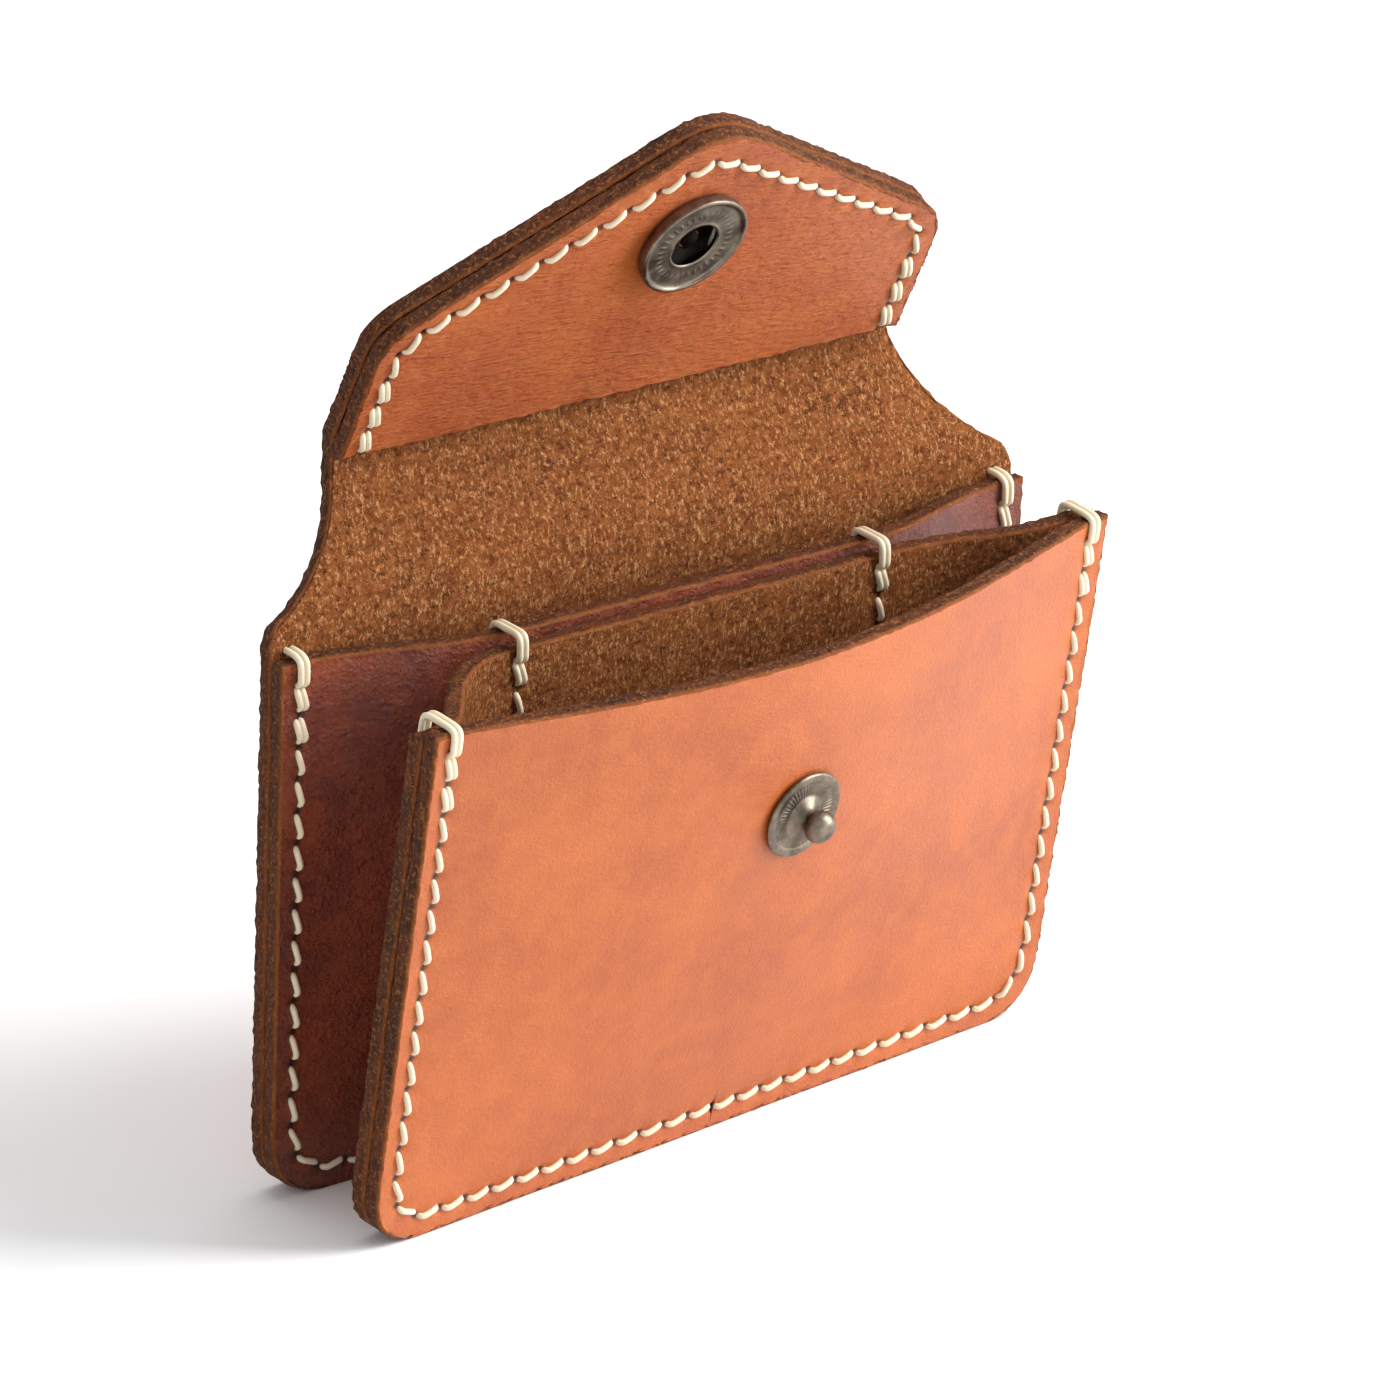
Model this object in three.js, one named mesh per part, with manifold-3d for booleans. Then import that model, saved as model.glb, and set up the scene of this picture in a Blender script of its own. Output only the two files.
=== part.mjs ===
// Leather card holder with an envelope flap, standing open: a rear pocket, a front pocket sewn to it
// by two divider seams, and a flap that folds over both and closes with a snap. Millimetres, +Z up,
// +Y to the back. Leather is cut as flat blanks and formed; thread lies on the surface of each seam.
import * as THREE from "three";
import { mergeVertices } from "three/addons/utils/BufferGeometryUtils.js";
import Module from "manifold-3d";

const wasm = await Module();
wasm.setup();

// ---- driving dimensions, mm and degrees ----
const width = 108; // across both pockets
const pocketHeight = 67; // blank height of every pocket panel
const cornerRadius = 8; // bottom corners
const leather = 2.1; // thickness of each panel
const plyGap = 0.25; // between two panels sewn together
const seamInset = 2.8; // seam line to edge
const rearLean = 3.2; // the rear pocket leans forward this much
const frontLean = 10.4; // and the front pocket this much
const frontYaw = 6.7; // the front pocket is splayed open at its left side
const frontGap = 1.9; // between the two pockets at the right bottom corner
const dividerX = 26.3; // each divider seam to the middle
const dividerFoot = 24; // height where the divider seams start
const rearBulge = 5.4; // the rear pocket panel stands this far forward at its top
const frontBulge = 8; // and the front panel this far
const contactGap = 0.4; // liner to rear pocket panel, between the divider seams

const foldHeight = 70.4; // fold line of the neck on the rear pocket
const shoulderWidth = 106.4; // across the neck at its fold
const neckLength = 18.1; // fold line to fold line
const neckLean = 26; // the neck leans back
const neckWaist = 80.6; // width where the neck meets the flap
const flapLean = 29; // the flap leans forward
const flapWidth = 81;
const flapSide = 20; // height of the flap's straight sides above its fold
const flapTip = 42.4; // height of its rounded point above the fold
const flapTipRadius = 11;
const flapCornerRadius = 8;
const liningFoot = 1.6; // the lining starts this far above the fold
const foldGap = 0.3; // between the panels that meet at a fold
const foldBevel = 52; // each end's inner bevel, degrees
const foldBevelOuter = 35; // and its outer bevel

const thread = 0.8; // thread diameter
const threadLift = 0.15; // thread to leather
const threadEnds = 0.5; // each cut end of a pocket's thread to the middle
const socketHeight = 26.7; // snap centre above the flap's fold
const studHeight = 45.6; // stud centre up the front panel
const socketRadius = 7.05;
const socketDepth = 2.4;
const socketHole = 2.9; // radius of its mouth
const capRadius = 7.5;
const capDome = 2.7;
const metalWall = 0.5;
const metalGap = 0.3; // between metal and leather, and between two metal pieces
const studBase = 5.6; // radius of the stud's flange
const studBall = 2; // radius of its head
const studNeck = 1.45;
const postRadius = 1.1; // both posts
const springWire = 0.6; // diameter

// ---- materials ----
const leatherMaterial = (color, roughness) =>
  new THREE.MeshStandardMaterial({ color, roughness, metalness: 0 });
const tanGrain = leatherMaterial(0xd9804f, 0.45);
const darkGrain = leatherMaterial(0x9c4a26, 0.35);
const fleshSide = leatherMaterial(0x8a5a36, 0.95);
const creamThread = leatherMaterial(0xe9dfc6, 0.8);
const agedBrass = new THREE.MeshStandardMaterial({ color: 0x6e695f, roughness: 0.4, metalness: 1 });
const springSteel = new THREE.MeshStandardMaterial({ color: 0x9a968c, roughness: 0.3, metalness: 1 });

// ---- seam lines ----
const seamX = width / 2 - seamInset;
const seamZ = seamInset;

// ---- solids ----
const radians = THREE.MathUtils.degToRad;

function solid(geometry) {
  const bare = geometry.clone();
  for (const name of ["normal", "uv"]) bare.deleteAttribute(name);
  const merged = mergeVertices(bare, 1e-4);
  return new wasm.Manifold(
    new wasm.Mesh({
      numProp: 3,
      vertProperties: merged.attributes.position.array,
      triVerts: new Uint32Array(merged.index.array),
    }),
  );
}

function geometryOf(manifold) {
  const { vertProperties, triVerts } = manifold.getMesh();
  const geometry = new THREE.BufferGeometry();
  geometry.setAttribute("position", new THREE.BufferAttribute(vertProperties, 3));
  geometry.setIndex(new THREE.BufferAttribute(triVerts, 1));
  geometry.computeVertexNormals();
  return geometry;
}

function piece(name, shape, material) {
  const geometry = shape.isBufferGeometry ? shape : geometryOf(shape);
  const mesh = new THREE.Mesh(geometry, material);
  mesh.name = name;
  return mesh;
}

// A flat outline drawn in x and z, as a prism along y that cuts a formed panel to shape.
const prismReach = 80;
function prism(outline) {
  const geometry = new THREE.ExtrudeGeometry(outline, {
    depth: 2 * prismReach,
    bevelEnabled: false,
    curveSegments: 5,
  });
  return solid(geometry.rotateX(Math.PI / 2).translate(0, prismReach, 0));
}

// A rounded-corner outline through (x, z, radius) corners.
function outlineOf(corners) {
  const shape = new THREE.Shape();
  corners.forEach(([x, z, radius], i) => {
    const at = new THREE.Vector2(x, z);
    const [px, pz] = corners.at(i - 1);
    const [nx, nz] = corners[(i + 1) % corners.length];
    const before = new THREE.Vector2(px, pz).sub(at).normalize();
    const after = new THREE.Vector2(nx, nz).sub(at).normalize();
    const half = Math.acos(THREE.MathUtils.clamp(before.dot(after), -1, 1)) / 2;
    const run = radius / Math.tan(half);
    const start = at.clone().addScaledVector(before, run);
    const end = at.clone().addScaledVector(after, run);
    i ? shape.lineTo(start.x, start.y) : shape.moveTo(start.x, start.y);
    if (radius) shape.quadraticCurveTo(x, z, end.x, end.y);
  });
  shape.closePath();
  return shape;
}

// A panel of one thickness, formed over a surface: depth(x, z) is its front face, along y.
const formMargin = 3; // the blank is formed oversize, then cut

// Grid lines of a blank: one just outside each end, the rest evenly between the seam lines.
function gridLine(i, cells, low, firstSeam, lastSeam, high) {
  const at = Math.round(i);
  if (at === 0) return low - formMargin;
  if (at === cells) return high + formMargin;
  return firstSeam + ((lastSeam - firstSeam) * (at - 1)) / (cells - 2);
}
function formedPanel(depth, high, acrossCells, upCells) {
  const blank = new THREE.BoxGeometry(acrossCells, leather, upCells, acrossCells, 1, upCells);
  blank.translate(acrossCells / 2, leather / 2, upCells / 2);
  const column = (i) => gridLine(i, acrossCells, -width / 2, -seamX, seamX, width / 2);
  const row = (i) => gridLine(i, upCells, 0, seamZ, high - 1, high);
  const at = blank.attributes.position;
  const step = 0.05;
  for (let i = 0; i < at.count; i++) {
    const [x, y, z] = [column(at.getX(i)), at.getY(i), row(at.getZ(i))];
    const slopeX = (depth(x + step, z) - depth(x - step, z)) / (2 * step);
    const slopeZ = (depth(x, z + step) - depth(x, z - step)) / (2 * step);
    const normal = new THREE.Vector3(-slopeX, 1, -slopeZ).normalize();
    at.setXYZ(i, x + normal.x * y, depth(x, z) + normal.y * y, z + normal.z * y);
  }
  return solid(blank);
}

// ---- the formed surfaces, each in its own pocket's frame ----
const ease = (t) => 0.5 - 0.5 * Math.cos(Math.PI * THREE.MathUtils.clamp(t, 0, 1));
const wing = (x) => ease((seamX - Math.abs(x)) / (seamX - dividerX));
const rise = (z) => {
  const t = THREE.MathUtils.clamp((z - seamZ) / (pocketHeight - seamZ), 0, 1);
  return Math.sin((Math.PI / 2) * t);
};

const rearFrame = new THREE.Group();
rearFrame.rotation.x = radians(rearLean);
const frontFrame = new THREE.Group();
const unitDepth = 2 * leather + plyGap;
const rightCornerY = (width / 2) * Math.sin(radians(frontYaw));
frontFrame.position.y = -unitDepth - frontGap - rightCornerY;
frontFrame.rotation.set(radians(frontLean), 0, radians(frontYaw), "ZXY");
rearFrame.updateMatrix();
frontFrame.updateMatrix();

const rearFace = (x, z) => -rearBulge * wing(x) * rise(z);

function frontFace(x, z) {
  const across = Math.min(1, Math.abs(x) / seamX);
  return -frontBulge * (1 - across ** 2) * (1 - 0.35 * across ** 2) * rise(z);
}

// The liner lies in the front pocket's plane at its edges and against the rear pocket's panel
// between the divider seams.
const rearInverse = rearFrame.matrix.clone().invert();
const rearward = new THREE.Vector3(0, 1, 0).transformDirection(frontFrame.matrix);
function linerFace(x, z) {
  const plane = leather + plyGap;
  const start = new THREE.Vector3(x, plane + leather, z);
  const at = start.clone().applyMatrix4(frontFrame.matrix);
  const local = at.clone().applyMatrix4(rearInverse);
  const along = rearward.clone().transformDirection(rearInverse);
  let reach = 0;
  for (let pass = 0; pass < 3; pass++) {
    const point = local.clone().addScaledVector(along, reach);
    reach += (rearFace(point.x, point.z) - contactGap - point.y) / along.y;
  }
  const foot = ease((z - 2 * seamInset) / (dividerFoot - 2 * seamInset));
  return plane + reach * wing(x) * foot;
}

// ---- outlines ----
const half = width / 2;
const pocketOutline = outlineOf([
  [-half, 0, cornerRadius],
  [half, 0, cornerRadius],
  [half, pocketHeight, 0.5],
  [-half, pocketHeight, 0.5],
]);
const backOutline = outlineOf([
  [-half, 0, cornerRadius],
  [half, 0, cornerRadius],
  [half, pocketHeight + 1, 1.5],
  [shoulderWidth / 2, foldHeight + formMargin, 0],
  [-shoulderWidth / 2, foldHeight + formMargin, 0],
  [-half, pocketHeight + 1, 1.5],
]);
const flapHalf = flapWidth / 2;
const slope = Math.atan2(flapTip - flapSide, flapHalf);
const flapPeak = flapTip + 0.5 * flapTipRadius * Math.tan(slope) * Math.sin(slope);
const flapOutline = (foot) =>
  outlineOf([
    [-flapHalf, foot, 0],
    [flapHalf, foot, 0],
    [flapHalf, flapSide, flapCornerRadius],
    [0, flapPeak, flapTipRadius],
    [-flapHalf, flapSide, flapCornerRadius],
  ]);
const neckOutline = new THREE.Shape();
neckOutline.moveTo(-shoulderWidth / 2, 0);
neckOutline.lineTo(shoulderWidth / 2, 0);
neckOutline.quadraticCurveTo(neckWaist / 2 + 1.5, neckLength * 0.35, neckWaist / 2, neckLength);
neckOutline.lineTo(-neckWaist / 2, neckLength);
neckOutline.quadraticCurveTo(-neckWaist / 2 - 1.5, neckLength * 0.35, -shoulderWidth / 2, 0);

// A flat leather plate between two folds, its ends bevelled to both faces so it can fold either way.
function plate(outline, low, high, front, bevelLow, bevelHigh) {
  const middle = front + leather / 2;
  const inner = (leather / 2) * Math.tan(radians(foldBevel));
  const outer = (leather / 2) * Math.tan(radians(foldBevelOuter));
  const profile = new THREE.Shape();
  const [lowInner, lowOuter] = bevelLow ? [inner, outer] : [0, 0];
  const [highInner, highOuter] = bevelHigh ? [inner, outer] : [0, 0];
  profile.moveTo(front, low + lowInner);
  profile.lineTo(middle, low);
  profile.lineTo(front + leather, low + lowOuter);
  profile.lineTo(front + leather, high - highOuter);
  profile.lineTo(middle, high);
  profile.lineTo(front, high - highInner);
  profile.closePath();
  const bar = new THREE.ExtrudeGeometry(profile, { depth: width + 20, bevelEnabled: false });
  bar.translate(0, 0, -width / 2 - 10).rotateX(Math.PI / 2).rotateZ(Math.PI / 2);
  return solid(bar).intersect(prism(outline));
}

// A drilled hole through a point, along y unless it is turned.
function bore(radius, at, turn = new THREE.Quaternion()) {
  const drill = new THREE.CylinderGeometry(radius, radius, 12, 16).applyQuaternion(turn);
  return solid(drill.translate(at.x, at.y, at.z));
}

// A route of straight steps, with a ring of the thread's section at each of its points.
class Route extends THREE.Curve {
  constructor(points) {
    super();
    this.points = points;
  }
  getPoint(t, target = new THREE.Vector3()) {
    const last = this.points.length - 1;
    const at = THREE.MathUtils.clamp(t, 0, 1) * last;
    const i = Math.min(Math.floor(at), last - 1);
    return target.lerpVectors(this.points[i], this.points[i + 1], at - i);
  }
  getPointAt(u, target) {
    return this.getPoint(u, target);
  }
  getTangentAt(u, target) {
    return this.getTangent(u, target);
  }
}

function cordAlong(points, diameter, sides = 6) {
  const section = new THREE.Shape();
  for (let i = 0; i < sides; i++) {
    const angle = (2 * Math.PI * (i + 0.5)) / sides;
    const [a, b] = [(diameter / 2) * Math.cos(angle), (diameter / 2) * Math.sin(angle)];
    i ? section.lineTo(a, b) : section.moveTo(a, b);
  }
  section.closePath();
  const extrudePath = new Route(points);
  const steps = points.length - 1;
  return new THREE.ExtrudeGeometry(section, { steps, extrudePath, bevelEnabled: false });
}

// ---- frames of the neck and the flap: each stands on the fold line below it ----
const foldMiddle = new THREE.Vector3(0, leather + plyGap + leather / 2, foldHeight);
const neckFrame = new THREE.Group();
neckFrame.position.copy(foldMiddle).applyMatrix4(rearFrame.matrix);
neckFrame.rotation.x = -radians(neckLean);
neckFrame.updateMatrix();
const flapFrame = new THREE.Group();
flapFrame.position.set(0, 0, neckLength).applyMatrix4(neckFrame.matrix);
flapFrame.rotation.x = radians(flapLean);

// ---- seams ----
const lift = threadLift + thread / 2; // leather to the middle of the thread
const turn = lift + 0.1; // radius of the thread's middle round a leather edge
const bend = cornerRadius - seamInset;

// The line of a pocket's seam from its left top round the bottom to its right top, in x and z.
function pocketSeamLine() {
  const foot = seamZ + bend;
  const left = [[-seamX, pocketHeight - 1.5]];
  for (let i = 0; i <= 5; i++) {
    const angle = Math.PI + (i * Math.PI) / 10;
    left.push([-seamX + bend + bend * Math.cos(angle), foot + bend * Math.sin(angle)]);
  }
  const right = left.map(([x, z]) => [-x, z]).reverse();
  return [...left, [0, seamZ], ...right];
}

// Thread round both faces of a pocket and over its top edge at each end of the seam. Its two ends
// meet at the middle of the back's lower run.
function pocketSeam(overEdge) {
  const line = pocketSeamLine();
  const half = (line.length - 1) / 2;
  const run = (y) => line.map(([x, z]) => new THREE.Vector3(x, y, z));
  const loop = (x) => overEdge.map(([y, z]) => new THREE.Vector3(x, y, pocketHeight + z));
  const behind = run(unitDepth + lift);
  const left = behind.slice(0, half).reverse();
  const right = behind.slice(half + 1).reverse();
  const ends = [-1, 1].map((side) => new THREE.Vector3(side * threadEnds, unitDepth + lift, seamZ));
  const points = [ends[0], ...left, ...loop(-seamX).reverse(), ...run(-lift), ...loop(seamX)];
  return cordAlong([...points, ...right, ends[1]], thread);
}

const diagonal = turn * Math.SQRT1_2;
const frontEdgeLoop = [
  [-turn, 0],
  [-diagonal, diagonal],
  [0, turn],
  [unitDepth, turn],
  [unitDepth + diagonal, diagonal],
  [unitDepth + turn, 0],
];
const rearEdgeLoop = [
  [-turn, 0],
  [-diagonal, diagonal],
  [0, turn],
  [unitDepth + 0.15, turn],
  [unitDepth + turn, 0.15],
  [unitDepth + turn, -0.8],
];
const threadBore = thread / 2 + 0.45;

// Thread of a divider seam: up the liner's face, over both top edges and down inside the rear pocket.
function dividerSeam(x) {
  const foot = dividerFoot + 2;
  const runs = 9;
  const ahead = -contactGap - leather - lift - 0.15;
  const behind = leather + lift + 0.15;
  const top = rearFace(x, pocketHeight);
  const points = [];
  const run = (offset) => {
    const line = [];
    for (let i = 0; i <= runs; i++) {
      const z = foot + (i * (pocketHeight - 1 - foot)) / runs;
      line.push(new THREE.Vector3(x, rearFace(x, z) + offset, z));
    }
    return line;
  };
  for (const [y, z] of [
    [ahead, 0],
    [ahead + turn - diagonal, diagonal],
    [ahead + turn, turn],
    [behind - turn, turn],
    [behind - turn + diagonal, diagonal],
    [behind, 0],
  ]) {
    points.push(new THREE.Vector3(x, top + y, pocketHeight + z));
  }
  return cordAlong([...run(ahead), ...points, ...run(behind).reverse()], thread);
}

// Thread round the flap, on one face.
function flapSeam(y) {
  const side = flapHalf - seamInset;
  const corner = flapSide - 0.5 * seamInset;
  const peak = flapTip - 1.4 * seamInset;
  const right = [
    [side, liningFoot + 0.8],
    [side, corner - 2],
    [side - 0.5, corner],
    [side - 2.2, corner + 1.7],
    [3.5, peak - 1],
    [1.5, peak],
  ];
  const left = right.map(([x, z]) => [-x, z]);
  const line = [...left, ...right.reverse()];
  return cordAlong(line.map(([x, z]) => new THREE.Vector3(x, y, z)), thread);
}

// ---- snap, each piece turned about z with its leather side at z = 0 ----
const lathe = (profile, segments = 24) =>
  new THREE.LatheGeometry(
    profile.map(([r, z]) => new THREE.Vector2(r, z)),
    segments,
  ).rotateX(Math.PI / 2);

// Where the stud sits on the bulged front panel.
const studStep = 0.5;
const studSlope =
  (frontFace(0, studHeight + studStep) - frontFace(0, studHeight - studStep)) / (2 * studStep);
const studOut = new THREE.Vector3(0, -1, studSlope).normalize();
const studTurn = new THREE.Quaternion().setFromUnitVectors(new THREE.Vector3(0, 0, 1), studOut);
const boreTurn = new THREE.Quaternion().setFromUnitVectors(new THREE.Vector3(0, 1, 0), studOut);
const studSeat = new THREE.Vector3(0, frontFace(0, studHeight), studHeight);

const studHollow = postRadius + metalGap;
const studDepth = 2.9; // from the flange up into the head
const stud = lathe([
  [studHollow, 0],
  [studBase - 0.15, 0],
  [studBase, 0.2],
  [studBase - 0.3, 0.6],
  [studBase - 1.3, 0.5],
  [studNeck + 1.2, 0.55],
  [studNeck + 0.25, 0.95],
  [studNeck, 1.6],
  [studNeck + 0.35, 2.1],
  [studBall, 2.9],
  [studBall - 0.15, 3.6],
  [studBall - 0.8, 4.2],
  [0, 4.4],
  [0, studDepth],
  [studHollow, studDepth],
  [studHollow, 0],
]);
const leatherStack = leather + 2 * metalGap;
const postFlange = 4.6;
const post = lathe([
  [0, -metalWall],
  [postFlange - 0.2, -metalWall],
  [postFlange, -metalWall / 2],
  [postFlange, 0],
  [postRadius, 0],
  [postRadius, leatherStack + studDepth - 2 * metalGap],
  [0, leatherStack + studDepth - 2 * metalGap],
  [0, -metalWall],
]);

const rivetHead = 0.9; // how far the cap's post stands into the socket
const capPost = 2 * leather + plyGap + 2 * metalGap + metalWall + rivetHead;
const capDepth = 0.7; // hollow under the dome
const cap = lathe([
  [0, -capDome],
  [0.45 * capRadius, -0.93 * capDome],
  [0.75 * capRadius, -0.68 * capDome],
  [0.95 * capRadius, -0.32 * capDome],
  [capRadius, -0.12 * capDome],
  [capRadius - 0.2, 0],
  [capRadius - metalWall, 0],
  [capRadius - 1, -capDepth],
  [postRadius, -capDepth],
  [postRadius, capPost],
  [0, capPost],
  [0, -capDome],
]);
const cavity = socketRadius - 1.5;
const socketBack = postRadius + metalGap;
const socket = lathe([
  [socketBack, 0],
  [socketRadius - 0.5, 0],
  [socketRadius, 0.5],
  [socketRadius, socketDepth - 0.7],
  [socketRadius - 0.7, socketDepth],
  [socketHole + 0.2, socketDepth],
  [socketHole, socketDepth - 0.2],
  [socketHole, socketDepth - metalWall],
  [cavity, socketDepth - metalWall],
  [cavity, metalWall],
  [socketBack, metalWall],
  [socketBack, 0],
]);

// An S-shaped wire: two straight legs beside the mouth, joined round one side of the cavity.
function springShape() {
  const leg = studBall + springWire / 2 + 0.1;
  const reach = cavity - springWire / 2 - metalGap;
  const legTop = Math.sqrt(reach ** 2 - leg ** 2);
  const height = socketDepth / 2;
  const start = Math.atan2(legTop, leg);
  const arcSteps = 12;
  const points = [new THREE.Vector3(leg, -0.8 * legTop, height)];
  for (let i = 0; i <= arcSteps; i++) {
    const angle = start + (i * Math.PI) / arcSteps;
    points.push(new THREE.Vector3(reach * Math.cos(angle), reach * Math.sin(angle), height));
  }
  points.push(new THREE.Vector3(-leg, 0.8 * legTop, height));
  return cordAlong(points, springWire);
}

// ---- pieces ----
const cells = { across: 24, up: 10 };
const pocketPrism = prism(pocketOutline);
const back = leather + plyGap;
const seamBores = [-1, 1].map((side) => bore(threadBore, new THREE.Vector3(side * seamX, 0, pocketHeight + turn)));

let backPanel = plate(backOutline, -10, foldHeight - foldGap / 2, back, false, true);
for (const hole of seamBores) backPanel = backPanel.subtract(hole);
const rearPanel = formedPanel(rearFace, pocketHeight, cells.across, cells.up).intersect(pocketPrism);
rearFrame.add(
  piece("back_panel", backPanel, tanGrain),
  piece("rear_pocket_panel", rearPanel, darkGrain),
  piece("rear_seam_thread", pocketSeam(rearEdgeLoop), creamThread),
  piece("divider_seam_left", dividerSeam(-dividerX), creamThread),
  piece("divider_seam_right", dividerSeam(dividerX), creamThread),
);

const frontPanel = formedPanel(frontFace, pocketHeight, cells.across, cells.up)
  .intersect(pocketPrism)
  .subtract(bore(postRadius + metalGap, studSeat, boreTurn));
const aboveRear = new THREE.BoxGeometry(2 * width, 2 * width, width)
  .translate(0, 0, pocketHeight - contactGap + width / 2)
  .applyMatrix4(rearFrame.matrix)
  .applyMatrix4(frontFrame.matrix.clone().invert());
const liner = formedPanel(linerFace, pocketHeight + 2 * formMargin, cells.across, cells.up + 2)
  .intersect(pocketPrism)
  .subtract(solid(aboveRear));
frontFrame.add(
  piece("front_panel", frontPanel, tanGrain),
  piece("pocket_liner", liner, fleshSide),
  piece("front_seam_thread", pocketSeam(frontEdgeLoop), creamThread),
);
const studMesh = piece("snap_stud", stud, agedBrass);
studMesh.quaternion.copy(studTurn);
studMesh.position.copy(studSeat).addScaledVector(studOut, metalGap);
const postMesh = piece("stud_post", post, agedBrass);
postMesh.quaternion.copy(studTurn);
postMesh.position.copy(studSeat).addScaledVector(studOut, -leather - metalGap);
frontFrame.add(studMesh, postMesh);

neckFrame.add(
  piece(
    "flap_neck",
    plate(neckOutline, foldGap / 2, neckLength - foldGap / 2, -leather / 2, true, true),
    fleshSide,
  ),
);

const liningFront = -leather / 2 - plyGap - leather;
const capBore = bore(postRadius + metalGap, new THREE.Vector3(0, 0, socketHeight));
const flapPanel = plate(flapOutline(0), foldGap / 2, 2 * flapTip, -leather / 2, true, false);
const lining = plate(flapOutline(liningFoot), liningFoot, 2 * flapTip, liningFront, false, false);
const springMesh = piece("snap_spring", springShape(), springSteel);
const socketMesh = piece("snap_socket", socket, agedBrass);
const capMesh = piece("snap_cap", cap, agedBrass);
for (const mesh of [springMesh, socketMesh, capMesh]) mesh.rotation.x = Math.PI / 2;
socketMesh.position.set(0, liningFront - metalGap, socketHeight);
springMesh.position.copy(socketMesh.position);
capMesh.position.set(0, leather / 2 + metalGap, socketHeight);
flapFrame.add(
  piece("flap_panel", flapPanel.subtract(capBore), tanGrain),
  piece("flap_lining", lining.subtract(capBore), tanGrain),
  piece("flap_seam_face_thread", flapSeam(liningFront - lift), creamThread),
  piece("flap_seam_back_thread", flapSeam(leather / 2 + lift), creamThread),
  capMesh,
  socketMesh,
  springMesh,
);

// ---- the holder, with its origin at the bottom centre of its box ----
const holder = new THREE.Group();
holder.add(rearFrame, frontFrame, neckFrame, flapFrame);
const box = new THREE.Box3().setFromObject(holder, true);
const middle = box.getCenter(new THREE.Vector3());
holder.position.set(-middle.x, -middle.y, -box.min.z);
export default holder;
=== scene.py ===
import math

import bmesh
import bpy
from mathutils import Matrix, Vector, kdtree, noise


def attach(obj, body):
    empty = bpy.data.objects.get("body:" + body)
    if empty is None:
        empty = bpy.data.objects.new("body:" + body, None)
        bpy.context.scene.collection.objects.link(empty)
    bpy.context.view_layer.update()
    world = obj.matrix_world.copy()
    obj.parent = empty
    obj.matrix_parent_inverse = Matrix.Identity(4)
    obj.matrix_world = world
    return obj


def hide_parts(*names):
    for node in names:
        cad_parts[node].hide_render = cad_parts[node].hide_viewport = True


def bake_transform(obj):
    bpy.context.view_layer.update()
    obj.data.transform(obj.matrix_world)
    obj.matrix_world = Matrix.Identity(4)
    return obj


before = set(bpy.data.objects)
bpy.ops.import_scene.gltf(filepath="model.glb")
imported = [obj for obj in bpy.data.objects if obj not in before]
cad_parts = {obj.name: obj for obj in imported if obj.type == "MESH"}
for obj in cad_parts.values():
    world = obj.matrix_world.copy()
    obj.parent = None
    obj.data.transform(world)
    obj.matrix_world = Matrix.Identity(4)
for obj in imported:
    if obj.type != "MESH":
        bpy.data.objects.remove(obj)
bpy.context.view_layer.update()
mm = 0.001

# The holder's own sizes, in millimetres and degrees, as its solids have them.
holder = {
    "width": 108,
    "pocketHeight": 67,
    "cornerRadius": 8,
    "hide": 2.1,
    "plyGap": 0.25,
    "seamInset": 2.8,
    "rearLean": 3.2,
    "frontLean": 10.4,
    "frontYaw": 6.7,
    "frontGap": 1.9,
    "dividerX": 26.3,
    "dividerFoot": 24,
    "rearBulge": 5.4,
    "frontBulge": 8,
    "contactGap": 0.4,
    "foldHeight": 70.4,
    "shoulder": 106.4,
    "neckLength": 18.1,
    "neckLean": 26,
    "neckWaist": 80.6,
    "flapLean": 29,
    "flapWidth": 81,
    "flapSide": 20,
    "flapTip": 42.4,
    "flapTipRadius": 11,
    "flapCornerRadius": 8,
    "liningFoot": 1.6,
    "socketHeight": 26.7,
    "studHeight": 45.6,
    "standsAt": (-0.5159, 12.6901, 0),
}
width, height, hide = holder["width"], holder["pocketHeight"], holder["hide"]
unitDepth = 2 * hide + holder["plyGap"]
seamX = width / 2 - holder["seamInset"]
seamZ = holder["seamInset"]
foldV = holder["foldHeight"]
flapV = foldV + holder["neckLength"]
tipV = flapV + holder["flapTip"]


# Frames of the four parts of the holder.
def turned(degrees, axis):
    return Matrix.Rotation(math.radians(degrees), 4, axis)


standing = Matrix.Translation(holder["standsAt"])
rearFrame = standing @ turned(holder["rearLean"], "X")
splay = width / 2 * math.sin(math.radians(holder["frontYaw"]))
frontFrame = (
    standing
    @ Matrix.Translation((0, -unitDepth - holder["frontGap"] - splay, 0))
    @ turned(holder["frontYaw"], "Z")
    @ turned(holder["frontLean"], "X")
)
hideMiddle = hide + holder["plyGap"] + hide / 2
neckFoot = rearFrame @ Vector((0, hideMiddle, foldV))
neckFrame = Matrix.Translation(neckFoot) @ turned(-holder["neckLean"], "X")
flapFoot = neckFrame @ Vector((0, 0, holder["neckLength"]))
flapFrame = Matrix.Translation(flapFoot) @ turned(holder["flapLean"], "X")
rearInverse = rearFrame.inverted()


# Formed surfaces: how far each panel's front face stands forward of its plane.
def clamp(value, low=0.0, high=1.0):
    return max(low, min(high, value))


def ease(t):
    return 0.5 - 0.5 * math.cos(math.pi * clamp(t))


def wing(x):
    return ease((seamX - abs(x)) / (seamX - holder["dividerX"]))


def rise(z):
    return math.sin(math.pi / 2 * clamp((z - seamZ) / (height - seamZ)))


def rearFace(x, z):
    return -holder["rearBulge"] * wing(x) * rise(z)


def frontFace(x, z):
    across = min(1, abs(x) / seamX)
    return -holder["frontBulge"] * (1 - across**2) * (1 - 0.35 * across**2) * rise(z)


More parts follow.
